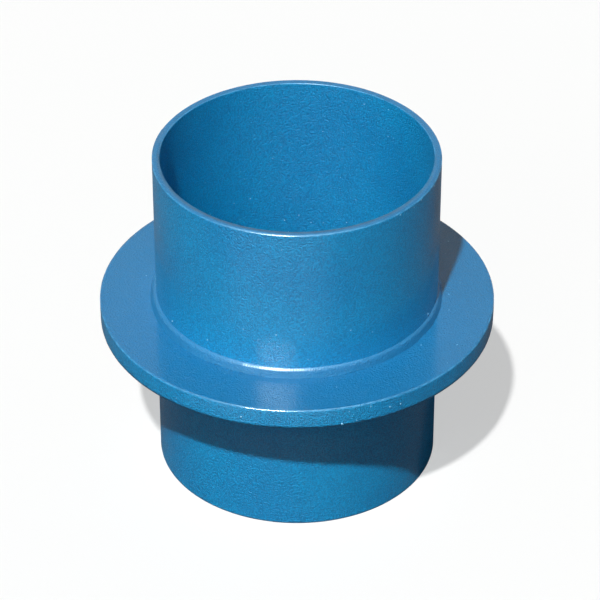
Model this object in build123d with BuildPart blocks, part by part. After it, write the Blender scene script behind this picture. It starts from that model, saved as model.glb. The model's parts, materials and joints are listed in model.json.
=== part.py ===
# Rigid waterproof sleeve: a short steel pipe with a flat ring welded round its middle.
# The sleeve is cast into a wall or floor slab. The ring lengthens the path that ground
# water has to take along the steel, and a service pipe later runs through the bore.
#
# It is a weldment of four pieces: the pipe, the ring and one fillet weld on each face of
# the ring. Nothing on it moves.
#
# Frame: millimetres, +Z along the pipe's axis, origin at the centre of the lower pipe end.

import os

from build123d import *

# Driving dimensions of the pipe
pipe_outer_diameter = 273.0
pipe_wall = 7.0
pipe_length = 335.0
pipe_outer_edge_break = 0.8  # the saw cut's outer edge, filed off at 45 degrees
pipe_bore_edge_break = 0.5  # the bore's edge, broken lightly

# Driving dimensions of the ring
ring_outer_diameter = 382.0
ring_thickness = 20.0
ring_edge_break = 1.2  # both edges of the rim, ground off before painting
ring_fit_gap = 0.5  # radial room that lets the ring slide over the pipe

# Driving dimensions of the two fillet welds
weld_leg_on_pipe = 9.5
weld_leg_on_ring = 7.0
weld_face_hollow = 1.2  # how far the concave face dips below the straight line between its toes
weld_root_depth = 1.5  # how far the root runs into the gap between ring and pipe

# Sizes and places that follow from those
pipe_outer_radius = pipe_outer_diameter / 2
pipe_bore_radius = pipe_outer_radius - pipe_wall
ring_outer_radius = ring_outer_diameter / 2
ring_bore_radius = pipe_outer_radius + ring_fit_gap
ring_middle_height = pipe_length / 2  # the ring stands at the middle of the pipe
ring_lower_face = ring_middle_height - ring_thickness / 2
ring_upper_face = ring_middle_height + ring_thickness / 2


def chord_point(start, end, share, dip):
    """The point at a share of the way from start to end, moved dip to the right of that line."""
    run = end - start
    to_the_right = Vector(run.Y, -run.X).normalized()
    return start + run * share + to_the_right * dip


# The pipe: a tube cut square at both ends, with its edges broken
with BuildPart() as sleeve_pipe:
    with BuildSketch(Plane.XY):
        Circle(pipe_outer_radius)
        Circle(pipe_bore_radius, mode=Mode.SUBTRACT)
    extrude(amount=pipe_length)
    outer_edges = sleeve_pipe.edges().filter_by(GeomType.CIRCLE).sort_by(SortBy.RADIUS)[2:]
    chamfer(outer_edges, length=pipe_outer_edge_break)
    bore_edges = sleeve_pipe.edges().filter_by(GeomType.CIRCLE).sort_by(SortBy.RADIUS)[:2]
    chamfer(bore_edges, length=pipe_bore_edge_break)
sleeve_pipe.part.label = "sleeve_pipe"

# The ring: a flat annulus cut from plate, both edges of its rim ground off
with BuildPart() as water_stop_ring:
    with BuildSketch(Plane.XY.offset(ring_lower_face)):
        Circle(ring_outer_radius)
        Circle(ring_bore_radius, mode=Mode.SUBTRACT)
    extrude(amount=ring_thickness)
    rim_edges = water_stop_ring.edges().filter_by(GeomType.CIRCLE).sort_by(SortBy.RADIUS)[2:]
    chamfer(rim_edges, length=ring_edge_break)
water_stop_ring.part.label = "water_stop_ring"

# The upper weld: one run of filler metal in the corner between the ring's upper face and
# the pipe. Its section has a root in the gap, a toe on each steel and a hollow face.
with BuildPart() as upper_weld:
    with BuildSketch(Plane.XZ) as weld_section:
        with BuildLine():
            root_on_pipe = Vector(pipe_outer_radius, ring_upper_face - weld_root_depth)
            root_on_ring = Vector(ring_bore_radius, ring_upper_face - weld_root_depth)
            ring_corner = Vector(ring_bore_radius, ring_upper_face)
            ring_toe = Vector(pipe_outer_radius + weld_leg_on_ring, ring_upper_face)
            pipe_toe = Vector(pipe_outer_radius, ring_upper_face + weld_leg_on_pipe)
            deepest = chord_point(pipe_toe, ring_toe, 0.5, weld_face_hollow)
            Polyline(pipe_toe, root_on_pipe, root_on_ring, ring_corner, ring_toe)
            ThreePointArc(ring_toe, deepest, pipe_toe)
        make_face()
    revolve(axis=Axis.Z)
upper_weld.part.label = "upper_weld"

# The lower weld: the same run on the ring's underside
with BuildPart() as lower_weld:
    add(upper_weld.part)
    mirror(about=Plane.XY.offset(ring_middle_height), mode=Mode.REPLACE)
lower_weld.part.label = "lower_weld"

os.makedirs("parts", exist_ok=True)
for piece in (sleeve_pipe, water_stop_ring, upper_weld, lower_weld):
    export_step(piece.part, f"parts/{piece.part.label}.step")
    print(piece.part.label, round(piece.part.volume), piece.part.bounding_box())
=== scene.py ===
# %% [markdown]
# # A rigid waterproof sleeve in blue enamel
#
# The object is a short steel pipe with a flat ring welded round its middle. It is cast into
# a concrete wall, where the ring stops water from creeping along the steel. The whole
# weldment was sprayed with a glossy blue enamel over steel that had not been polished, so
# its finish is smooth to the touch and a little lumpy to the eye.
#
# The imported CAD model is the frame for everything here. It is in metres, with +Z along the
# pipe and the origin at the centre of the pipe's lower end. Each piece below takes its
# sizes from a CAD node, so nothing has to be fitted by eye.

# %% Load the frame
import json
import math
import random

import bmesh
import bpy
from mathutils import Matrix, Vector, noise


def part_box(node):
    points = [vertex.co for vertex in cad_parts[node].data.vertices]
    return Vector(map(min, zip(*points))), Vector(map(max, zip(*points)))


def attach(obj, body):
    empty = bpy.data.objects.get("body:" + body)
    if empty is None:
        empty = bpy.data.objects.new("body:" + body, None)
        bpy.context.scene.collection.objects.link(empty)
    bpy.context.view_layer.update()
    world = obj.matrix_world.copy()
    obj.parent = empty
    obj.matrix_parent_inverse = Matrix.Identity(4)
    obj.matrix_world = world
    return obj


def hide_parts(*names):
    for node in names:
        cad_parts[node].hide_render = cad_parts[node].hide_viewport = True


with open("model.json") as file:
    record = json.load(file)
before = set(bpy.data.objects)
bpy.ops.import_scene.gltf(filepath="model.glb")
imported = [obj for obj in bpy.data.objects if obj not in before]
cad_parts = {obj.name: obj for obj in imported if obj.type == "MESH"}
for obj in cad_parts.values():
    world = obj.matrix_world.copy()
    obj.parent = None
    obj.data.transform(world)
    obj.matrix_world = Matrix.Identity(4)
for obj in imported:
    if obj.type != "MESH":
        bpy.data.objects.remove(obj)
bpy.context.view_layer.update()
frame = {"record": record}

MM = 0.001

pipe_low, pipe_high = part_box("sleeve_pipe")
ring_low, ring_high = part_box("water_stop_ring")
bead_low, bead_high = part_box("upper_weld")
PIPE_RADIUS = pipe_high.x
PIPE_TOP = pipe_high.z
BORE_RADIUS = frame["record"]["mounts"][0]["dims"]["r_mm"] * MM
RING_RADIUS = ring_high.x
RING_BOTTOM = ring_low.z
RING_TOP = ring_high.z
RING_MIDDLE = (RING_BOTTOM + RING_TOP) / 2
print("pipe radius", PIPE_RADIUS, "bore radius", BORE_RADIUS, "length", PIPE_TOP)
print("ring radius", RING_RADIUS, "from height", RING_BOTTOM, "to", RING_TOP)

# %% [markdown]
# ## The camera
#
# A camera is a place, a point that it looks at and a lens. The outlines of the rims and of
# the ring are ellipses, and how much they flatten and shrink with distance gives all three.
# A long lens from about three metres away matches them: the two ends of the pipe look
# almost the same width, as they do here.

# %% Place the camera
CAMERA_PLACE = Vector((0.0, -2.4487, 1.8983))
LOOKS_AT = Vector((0.0029, 0.0, 0.1678))
LENS = 185.15  # mm, on a sensor 36 mm wide

camera_data = bpy.data.cameras.new("camera")
camera_data.lens = LENS
camera_data.sensor_width = 36
camera_data.clip_end = 50
camera = bpy.data.objects.new("camera", camera_data)
camera.location = CAMERA_PLACE
camera.rotation_euler = (LOOKS_AT - CAMERA_PLACE).to_track_quat("-Z", "Y").to_euler()
bpy.context.scene.collection.objects.link(camera)
bpy.context.scene.camera = camera
print("camera at", tuple(round(c, 4) for c in camera.location), "lens", LENS)

# %% [markdown]
# ## Shader maths as plain expressions
#
# A material is a web of nodes, and drawing it node by node hides what it works out. The
# small class below wraps one socket, so that `1 - mask` or `depth * 0.3` adds the Math node
# that it means. A second class holds a material's node tree and makes every other node in
# one call: first its settings, then what goes into its sockets.


# %% Wrap the sockets
class Value:
    """One output socket that can be used in a Python expression."""

    def __init__(self, paint, socket):
        self.paint = paint
        self.socket = socket

    def maths(self, operation, first, second=0.0):
        return self.paint.node("ShaderNodeMath", {"operation": operation}, {0: first, 1: second})

    def __add__(self, other):
        return self.maths("ADD", self, other)

    def __sub__(self, other):
        return self.maths("SUBTRACT", self, other)

    def __rsub__(self, other):
        return self.maths("SUBTRACT", other, self)

    def __mul__(self, other):
        return self.maths("MULTIPLY", self, other)

    def __truediv__(self, other):
        return self.maths("DIVIDE", self, other)

    __radd__ = __add__
    __rmul__ = __mul__

    def most(self, other):
        return self.maths("MAXIMUM", self, other)

    def size(self):
        return self.maths("ABSOLUTE", self)


class Paint:
    """The node tree of a material or a world, with one method that adds a node."""

    def __init__(self, owner):
        owner.use_nodes = True
        self.owner = owner
        self.tree = owner.node_tree
        self.tree.nodes.clear()

    def node(self, kind, settings=None, inputs=None, output=0):
        made = self.tree.nodes.new(kind)
        for key, setting in (settings or {}).items():
            setattr(made, key, setting)
        self.feed(made, inputs)
        return Value(self, made.outputs[output]) if made.outputs else None

    def feed(self, made, inputs):
        for key, given in (inputs or {}).items():
            if isinstance(given, Value):
                self.tree.links.new(given.socket, made.inputs[key])
            else:
                made.inputs[key].default_value = given

    def noise(self, where, scale, detail=2.0, roughness=0.5):
        inputs = {"Vector": where, "Scale": scale, "Detail": detail, "Roughness": roughness}
        return self.node("ShaderNodeTexNoise", {}, inputs)

    def remap(self, value, low, high, to_low=0.0, to_high=1.0):
        inputs = {"Value": value, "From Min": low, "From Max": high, "To Min": to_low, "To Max": to_high}
        return self.node("ShaderNodeMapRange", {"interpolation_type": "SMOOTHSTEP"}, inputs)

    def mix(self, share, first, second):
        settings = {"data_type": "RGBA", "blend_type": "MIX"}
        return self.node("ShaderNodeMix", settings, {0: share, 6: first, 7: second}, output=2)

    def vector(self, operation, first, second=(0, 0, 0), output="Value"):
        return self.node("ShaderNodeVectorMath", {"operation": operation}, {0: first, 1: second}, output)

    def place(self, kind="Object"):
        return self.node("ShaderNodeTexCoord", output=kind)

    def ray(self, kind):
        return self.node("ShaderNodeLightPath", output=kind)

    def up(self, where):
        return self.node("ShaderNodeSeparateXYZ", {}, {0: where}, output="Z")


print("socket maths ready")

# %% [markdown]
# ## Blue enamel
#
# Sprayed enamel is a coloured layer that dries smooth, so it is a coloured base under a
# clear coat. Three things keep it from looking like plastic:
#
# - orange peel: the skin of the paint rises and falls by a few hundredths of a millimetre
#   every two or three millimetres, which breaks up every highlight;
# - grain: hot-rolled steel is slightly pitted, and the paint only half fills the pits,
#   whose shade is also painted into the colour as a darker blue;
# - uneven film: the coat is thicker in some places, thinner and paler on sharp edges, and a
#   film of dust dulls the gloss in patches.
#
# A picture of paint could be wrapped round each piece, but then it would have seams and
# one fixed sharpness. Noise in the object's own coordinates has neither, and because all
# pieces share one frame it runs on from the pipe to the ring without a break.

# %% Mix the enamel
ENAMEL_FRESH = (0.002, 0.305, 0.605, 1)
ENAMEL_BLUE = (0.002, 0.262, 0.550, 1)
ENAMEL_SHADED = (0.001, 0.136, 0.308, 1)  # painted shade on level faces and welds, which the high key light catches most
ENAMEL_PIT_SHADE = (0.002, 0.110, 0.290, 1)  # painted shade in the pits, which stands in for the shading of the bumps
ENAMEL_THIN = (0.060, 0.330, 0.600, 1)  # on sharp edges
ENAMEL_GLINT = (0.200, 0.500, 0.720, 1)  # painted highlight on the grit, so that it shows as small light dots
PEEL = 0.7
GRAIN = 1.6


def blue_enamel(name, arrises=(), coat_roughness=0.15, painted_shade=0.0, painted_glint=0.0):
    """The enamel for one piece. Each arris is a radius and a height where paint is thin."""
    paint = Paint(bpy.data.materials.new(name))
    place = paint.place()
    # level: how far the face looks up, and never less than the share given for painted shade
    level = paint.remap(paint.up(paint.place("Normal")).size(), 0.1, 0.95).most(painted_shade)
    # the share of the pits' painted shade that is kept; level faces keep less
    pit_shade_kept = 1 - 0.7 * level

    film = paint.remap(paint.noise(place, 9.0, detail=3.0), 0.35, 0.65)
    dust = paint.remap(paint.noise(place, 38.0, detail=4.0, roughness=0.6), 0.45, 0.75)
    lumps = paint.noise(place, 430.0, detail=2.0)
    pits = paint.noise(place, 640.0, detail=2.0, roughness=0.6)

    colour = paint.mix(film, ENAMEL_BLUE, ENAMEL_FRESH)
    # painted shade: level faces and the welds are darker, so that the light from above doesn't make them too
    # bright
    colour = paint.mix(level, colour, ENAMEL_SHADED)
    # painted shade in the pits
    colour = paint.mix(paint.remap(pits, 0.60, 0.40) * pit_shade_kept * 0.55, colour, ENAMEL_PIT_SHADE)
    if arrises:
        radius = paint.vector("LENGTH", paint.vector("MULTIPLY", place, (1, 1, 0), output="Vector"))
        height = paint.up(place)
        thin = 0.0
        for arris_radius, arris_height in arrises:
            away = (radius - arris_radius).size().most((height - arris_height).size())
            near = 1 - paint.remap(away, 0.2 * MM, 1.6 * MM)
            thin = near.most(thin)
        broken = paint.remap(paint.noise(place, 160.0, detail=3.0), 0.35, 0.7)
        colour = paint.mix(thin * broken * 0.7, colour, ENAMEL_THIN)

    # painted highlight, used on the grit
    colour = paint.mix(painted_glint, colour, ENAMEL_GLINT)

    relief = lumps * PEEL + pits * GRAIN
    skin = paint.node("ShaderNodeBump", {}, {"Height": relief, "Strength": 1.0, "Distance": 1.0 * MM})
    fixed = {"IOR": 1.5, "Specular IOR Level": 0.12, "Coat Weight": 0.6, "Coat Roughness": coat_roughness}
    varied = {"Base Color": colour, "Roughness": 0.42 + dust * 0.10, "Normal": skin}
    surface = paint.node("ShaderNodeBsdfPrincipled", {}, {**fixed, **varied})
    paint.node("ShaderNodeOutputMaterial", {}, {"Surface": surface})
    return paint.owner


pipe_arrises = [(r, h) for r in (BORE_RADIUS, PIPE_RADIUS) for h in (0.0, PIPE_TOP)]
ring_arrises = [(RING_RADIUS, RING_BOTTOM), (RING_RADIUS, RING_TOP)]
enamel_on_pipe = blue_enamel("enamel_on_pipe", pipe_arrises, coat_roughness=0.24)
enamel_on_ring = blue_enamel("enamel_on_ring", ring_arrises, coat_roughness=0.13)
# the welds get painted shade over most of their face
enamel_on_bead = blue_enamel("enamel_on_bead", coat_roughness=0.30, painted_shade=0.85)
# the grit is mostly painted highlight
enamel_on_grit = blue_enamel("enamel_on_grit", coat_roughness=0.22, painted_glint=0.8)
print("enamels", [m.name for m in bpy.data.materials if m.name.startswith("enamel")])

# %% [markdown]
# ## Turning a section into a piece
#
# Pipe, ring and welds are all round, so each begins as one closed outline in the XZ plane
# that spins about the pipe's axis. The outline is drawn with few points. Its corners are
# then bevelled into small rounds, as paint and a file leave them, because a perfectly sharp
# corner catches no light and looks drawn rather than made.


# %% Spin and finish a mesh
def spun(corners, turns):
    """A closed outline of (radius, height) corners, spun into a closed ring of quads."""
    shape = bmesh.new()
    outline = [shape.verts.new((r, 0, h)) for r, h in corners]
    edges = [shape.edges.new((a, b)) for a, b in zip(outline, outline[1:] + outline[:1])]
    bmesh.ops.spin(
        shape, geom=outline + edges, cent=(0, 0, 0), axis=(0, 0, 1), dvec=(0, 0, 0),
        angle=math.tau, steps=turns, use_merge=True, use_duplicate=False,
    )
    bmesh.ops.remove_doubles(shape, verts=shape.verts, dist=1e-7)
    return shape


def level_edges(shape, radius, height):
    """The loop of edges that goes round at this radius and height."""
    def there(vert):
        return abs(vert.co.xy.length - radius) < 1e-6 and abs(vert.co.z - height) < 1e-6
    return [edge for edge in shape.edges if all(there(vert) for vert in edge.verts)]


def round_off(shape, radius, height, size, segments=4):
    bmesh.ops.bevel(
        shape, geom=level_edges(shape, radius, height), offset=size, offset_type="OFFSET",
        segments=segments, profile=0.5, affect="EDGES", material=-1, clamp_overlap=True,
    )


def finished(shape, name, material):
    """Turns the bmesh into a smooth piece that rides on the body."""
    bmesh.ops.recalc_face_normals(shape, faces=shape.faces)
    for face in shape.faces:
        face.smooth = True
    mesh = bpy.data.meshes.new(name)
    shape.to_mesh(mesh)
    shape.free()
    mesh.materials.append(material)
    piece = bpy.data.objects.new(name, mesh)
    bpy.context.scene.collection.objects.link(piece)
    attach(piece, "root")
    print(name, len(mesh.vertices), "vertices", len(mesh.polygons), "faces")
    return piece


def unevenness(point, spacing, seed):
    """Smooth noise from -1 to 1 whose bumps are about this far apart."""
    return noise.noise(point / spacing + Vector((seed, 0.37 * seed, 0.61 * seed)))


# %% [markdown]
# ## The pipe
#
# A sawn pipe end isn't a perfect plane. The saw wanders by a tenth or two of a millimetre,
# the file that breaks the edge bites unevenly, and the paint pulls into a slight roll along
# it. So the outline gets rows of points close to each end, and those rows are moved by
# smooth noise. On a mesh with a thousand steps round the rim, the light then runs along the
# arris as a thin line that thickens and fades, as it does on the real one.

# %% Make the pipe
RIM_STEPS = 960
OUTER_ARRIS = 0.9 * MM
BORE_ARRIS = 0.6 * MM
RIM_WANDER = 0.18 * MM
END_ROWS = (1.6 * MM, 4.0 * MM, 9.0 * MM)  # how far the extra rows stand from each end

heights = [0.0, *END_ROWS, RING_MIDDLE, *(PIPE_TOP - row for row in reversed(END_ROWS)), PIPE_TOP]
outline = [(PIPE_RADIUS, h) for h in heights] + [(BORE_RADIUS, h) for h in reversed(heights)]
pipe_shape = spun(outline, RIM_STEPS)
for end in (0.0, PIPE_TOP):
    round_off(pipe_shape, PIPE_RADIUS, end, OUTER_ARRIS)
    round_off(pipe_shape, BORE_RADIUS, end, BORE_ARRIS)

for vert in pipe_shape.verts:
    end = PIPE_TOP if vert.co.z > RING_MIDDLE else 0.0
    inward = -1 if end else 1
    closeness = max(0.0, 1 - abs(vert.co.z - end) / END_ROWS[1])
    wander = unevenness(vert.co, 28 * MM, 3.1) + 0.5 * unevenness(vert.co, 6 * MM, 7.7)
    vert.co.z += inward * closeness * RIM_WANDER * (0.75 + 0.5 * wander)
painted_pipe = finished(pipe_shape, "painted_pipe", enamel_on_pipe)
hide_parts("sleeve_pipe")

# %% [markdown]
# ## The ring
#
# The ring is flame cut from plate and its rim is ground. Grinding by hand leaves shallow
# facets a centimetre or two long, and the two arrises wander with them. The same spin makes
# the blank. Noise along the rim then moves it in and out by less than a quarter of a
# millimetre, and the arrises by a little more.

# %% Make the ring
RING_STEPS = 960
RING_ARRIS = 1.3 * MM
RIM_FACETS = 0.22 * MM

ring_bore = PIPE_RADIUS - 1.0 * MM  # inside the pipe's wall, where it can't be seen
flat_rows = (ring_bore + 0.3 * MM, RING_RADIUS - 12 * MM, RING_RADIUS - 2.2 * MM)
outline = [(ring_bore, RING_BOTTOM)] + [(row, RING_BOTTOM) for row in flat_rows]
for share in (0.0, 0.12, 0.3, 0.5, 0.7, 0.88, 1.0):
    outline.append((RING_RADIUS, RING_BOTTOM + share * (RING_TOP - RING_BOTTOM)))
outline += [(row, RING_TOP) for row in reversed(flat_rows)] + [(ring_bore, RING_TOP)]
ring_shape = spun(outline, RING_STEPS)
for level in (RING_BOTTOM, RING_TOP):
    round_off(ring_shape, RING_RADIUS, level, RING_ARRIS)

for vert in ring_shape.verts:
    radius = vert.co.xy.length
    if radius > RING_RADIUS - 2 * RING_ARRIS:
        on_rim = 1 - abs(vert.co.z - RING_MIDDLE) / (RING_TOP - RING_MIDDLE)
        wander = unevenness(vert.co, 17 * MM, 1.3) + 0.6 * unevenness(vert.co, 5 * MM, 9.2)
        shift = RIM_FACETS * (0.5 * wander - 0.65) * (1.4 - on_rim)
        vert.co.xy *= (radius + shift) / radius
painted_ring = finished(ring_shape, "painted_ring", enamel_on_ring)
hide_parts("water_stop_ring")

# %% [markdown]
# ## The welds
#
# A fillet weld is a row of small frozen pools. Seen close, its face is crossed by fine
# ripples, its two toes wander, and it swells wherever the welder stopped and started again.
# The paint softens all of that without hiding it. The bead's face is divided into many
# rows, and each point is pushed out or in by three kinds of unevenness: slow, for the size
# of the bead, quick, for the ripples, and a few humps, for the restarts. The lower bead is
# made in the same way from another seed, and then mirrored.

# %% Make the two beads
BEAD_STEPS = 1440
RIPPLE_PITCH = 2.6 * MM
RIPPLE_DEPTH = 0.05 * MM
BEAD_SWELL = 0.33 * MM
RESTART_HUMP = 0.3 * MM
BEAD_BITE = 0.6 * MM  # how far the bead reaches into both steels, so that no gap shows
RESTARTS = (-2.75, -1.95, -0.68, 0.35, 1.75)  # radians round the pipe
NARROWEST = math.radians(-25)  # the welder ran faster here, and left a quarter less steel

leg_up = bead_high.z - RING_TOP
leg_out = bead_high.x - PIPE_RADIUS


# The face from the upper toe to the outer one, in shares of the two legs
FACE = ((0.0, 1.0), (0.068, 0.984), (0.144, 0.954), (0.215, 0.919), (0.281, 0.879), (0.344, 0.836), (0.403, 0.789),
        (0.456, 0.740), (0.50, 0.686), (0.54, 0.619), (0.62, 0.46), (0.70, 0.30), (0.775, 0.15), (0.845, 0.0))


def bead_section():
    """The bead's outline: a face between its two toes, and a back inside the steels."""
    face = [(PIPE_RADIUS + leg_out * out, RING_TOP + leg_up * up) for out, up in FACE]
    back = [(face[-1][0], RING_TOP - BEAD_BITE), (PIPE_RADIUS - BEAD_BITE, RING_TOP - BEAD_BITE)]
    return face + back + [(PIPE_RADIUS - BEAD_BITE, RING_TOP + leg_up)]


def weld_bead(seed):
    """One run of weld above the ring, its face uneven in its own way."""
    shape = spun(bead_section(), BEAD_STEPS)
    for vert in shape.verts:
        out = vert.co.xy.length - PIPE_RADIUS
        up = vert.co.z - RING_TOP
        if out < -0.1 * MM:
            continue  # this part of the back is buried in the pipe
        angle = math.atan2(vert.co.y, vert.co.x)
        outward = Vector((vert.co.x, vert.co.y, 0)).normalized()
        lost = 0.13 * (1 + math.cos(angle - NARROWEST)) * out
        if up < -0.1 * MM:
            vert.co -= outward * lost
            continue
        bulge = 0.8 * MM * math.sin(math.pi * min(1.0, out / leg_out))
        along = angle * PIPE_RADIUS + bulge + 0.5 * MM * unevenness(vert.co, 9 * MM, seed)
        ripple = math.sin(math.tau * along / RIPPLE_PITCH) * (0.5 + 0.5 * unevenness(vert.co, 22 * MM, seed + 5))
        swell = unevenness(vert.co, 30 * MM, seed + 11) + 0.5 * unevenness(vert.co, 9 * MM, seed + 17)
        hump = sum(math.exp(-(((angle - stop) * PIPE_RADIUS / (5 * MM)) ** 2)) for stop in RESTARTS)
        push = 0.7 * (RIPPLE_DEPTH * ripple + BEAD_SWELL * (swell - 0.5) + RESTART_HUMP * hump)
        vert.co += outward * (push - lost) + Vector((0, 0, push))
    return shape


upper = weld_bead(2.0)
upper_bead = finished(upper, "upper_bead", enamel_on_bead)
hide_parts("upper_weld")

lower = weld_bead(31.0)
bmesh.ops.scale(lower, vec=(1, 1, -1), verts=lower.verts)
bmesh.ops.translate(lower, vec=(0, 0, 2 * RING_MIDDLE), verts=lower.verts)
lower_bead = finished(lower, "lower_bead", enamel_on_bead)
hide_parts("lower_weld")

# %% [markdown]
# ## Grit and spatter
#
# Welding throws out fine drops of steel, and a sprayed coat catches dust while it is wet. Both
# end up as small painted pimples. They are icospheres a fraction of a millimetre high, pressed
# flat and half sunk into the surface that they sit on. A few stand where they can be seen on
# this sleeve, and the rest are strewn at random, thickest near the weld.

# %% Scatter the specks
# What each speck sits on, its degrees to the right of the front, its place in mm and its size
SEEN_SPECKS = (
    ("wall", -8.2, 223.6, 1.0), ("wall", 31.0, 214.0, 0.7), ("wall", 66.0, 190.5, 1.2),
    ("wall", 44.0, 332.6, 0.7), ("wall", 52.0, 331.2, 0.6), ("wall", 57.0, 332.8, 0.8), ("wall", 69.0, 332.0, 0.9),
    ("rim", -15.7, 165.5, 1.2), ("rim", 12.6, 159.0, 1.4), ("rim", 26.8, 167.0, 1.0),
    ("rim", 30.3, 166.2, 0.9), ("rim", 21.0, 173.0, 0.8),
)
STREWN = {"wall": 50, "bore": 170, "rim": 16, "ring": 24}

chance = random.Random(11)
specks = list(SEEN_SPECKS)
for kind, count in STREWN.items():
    for _ in range(count):
        if kind == "ring":
            where = PIPE_RADIUS / MM + 9 + 40 * chance.random() ** 1.6
        elif kind == "rim":
            where = chance.uniform(RING_BOTTOM + 2 * MM, RING_TOP - 2 * MM) / MM
        elif kind == "wall":
            where = RING_TOP / MM + 12 + 140 * chance.random() ** 1.8
        else:
            where = chance.uniform(0.04, 0.98) * PIPE_TOP / MM
        specks.append((kind, chance.uniform(-180, 180), where, 0.3 + 0.5 * chance.random() ** 2))

SPECK_RADIUS = {"wall": PIPE_RADIUS, "bore": BORE_RADIUS, "rim": RING_RADIUS - 0.25 * MM}
grit = bmesh.new()
for kind, degrees, where, size in specks:
    if kind == "rim" and abs((degrees + 45) % 90 - 45) < 8:
        degrees += 16  # the ring's foremost points stay clear, so that nothing stands outside its box
    turn = Matrix.Rotation(math.radians(degrees), 4, "Z")
    if kind == "ring":
        spot = Matrix.Translation((0, -where * MM, RING_TOP))
    else:
        spot = Matrix.Translation((0, -SPECK_RADIUS[kind], where * MM)) @ Matrix.Rotation(math.pi / 2, 4, "X")
    press = Matrix.Diagonal((size * MM, size * MM, 0.6 * size * MM, 1))
    bmesh.ops.create_icosphere(grit, subdivisions=2, radius=1.0, matrix=turn @ spot @ press)
finished(grit, "grit", enamel_on_grit)

# %% [markdown]
# ## Floor, sky and key light
#
# The sleeve stands outdoors in the real world, so its look comes from one small strong
# light, a weak bluish sky and a pale ground. A sun lamp a few degrees wide gives the ring's
# shadow on the pipe its clean edge. The floor and the sky look pale to the camera and in
# reflections, and darker to light that has already bounced, so that they don't wash the
# shadows out.


# %% Build the stage
FLOOR_PALE = (0.84, 0.84, 0.83, 1)
FLOOR_BOUNCE = (0.10, 0.11, 0.12, 1)
BRIGHT_SPOT = (-0.16, -0.68, 0)
BRIGHT_REACH = (0.25, 0.50)
SLEEVE_REACH = (0.30, 0.46)  # nearer the axis than this the floor is dull in reflections

floor_paint = Paint(bpy.data.materials.new("pale_floor"))
place = floor_paint.place()
from_spot = floor_paint.remap(floor_paint.vector("DISTANCE", place, BRIGHT_SPOT), *BRIGHT_REACH, 1.0, 0.06)
from_axis = floor_paint.remap(floor_paint.vector("LENGTH", place), *SLEEVE_REACH)
directly = floor_paint.ray("Is Camera Ray").most(floor_paint.ray("Is Transmission Ray"))
is_seen = directly.most(floor_paint.ray("Is Glossy Ray") * from_spot * from_axis)
floor_colour = floor_paint.mix(is_seen, FLOOR_BOUNCE, FLOOR_PALE)
floor_matt = floor_paint.node("ShaderNodeBsdfDiffuse", {}, {"Color": floor_colour})
floor_glow = floor_paint.node("ShaderNodeEmission", {}, {"Color": FLOOR_PALE, "Strength": 1.06})
floor_shader = floor_paint.node("ShaderNodeMixShader", {}, {0: is_seen * 0.6, 1: floor_matt, 2: floor_glow})
floor_paint.node("ShaderNodeOutputMaterial", {}, {"Surface": floor_shader})

ground = bmesh.new()
bmesh.ops.create_grid(ground, x_segments=1, y_segments=1, size=12)
floor_mesh = bpy.data.meshes.new("floor")
ground.to_mesh(floor_mesh)
ground.free()
floor_mesh.materials.append(floor_paint.owner)
floor = bpy.data.objects.new("floor", floor_mesh)
bpy.context.scene.collection.objects.link(floor)

# %% Light it
SKY_FILL = (0.019, 0.034, 0.055, 1)  # what it adds to the light on the sleeve
SKY_SEEN = (0.90, 1.04, 1.08, 1)  # what the camera and reflections see

sky = Paint(bpy.data.worlds.new("sky"))
bpy.context.scene.world = sky.owner
sky_colour = sky.mix(sky.ray("Is Camera Ray").most(sky.ray("Is Glossy Ray")), SKY_FILL, SKY_SEEN)
sky_glow = sky.node("ShaderNodeBackground", {}, {"Color": sky_colour})
sky.node("ShaderNodeOutputWorld", {}, {"Surface": sky_glow})


def far_lamp(name, strength, width, left, height, colour=(1, 1, 1), only_gloss=False):
    """A distant lamp, in degrees to the left of the camera and above the horizon."""
    data = bpy.data.lights.new(name, "SUN")
    data.energy = strength
    data.color = colour
    data.angle = math.radians(width)
    lamp = bpy.data.objects.new(name, data)
    towards = Matrix.Rotation(math.radians(-left), 3, "Z") @ Vector((0, -1, 0))
    towards = towards * math.cos(math.radians(height)) + Vector((0, 0, math.sin(math.radians(height))))
    lamp.rotation_euler = towards.to_track_quat("Z", "Y").to_euler()
    lamp.visible_diffuse = not only_gloss
    bpy.context.scene.collection.objects.link(lamp)


far_lamp("key", 4.8, 2.0, left=16, height=56)
far_lamp("haze", 0.5, 50.0, left=28, height=14)
far_lamp("glow", 4.6, 62.0, left=17, height=73, colour=(0.72, 1, 0.98), only_gloss=True)
far_lamp("sparkle", 14.0, 24.0, left=17, height=40, colour=(0.88, 1, 1), only_gloss=True)

bpy.context.scene.view_settings.view_transform = "Standard"
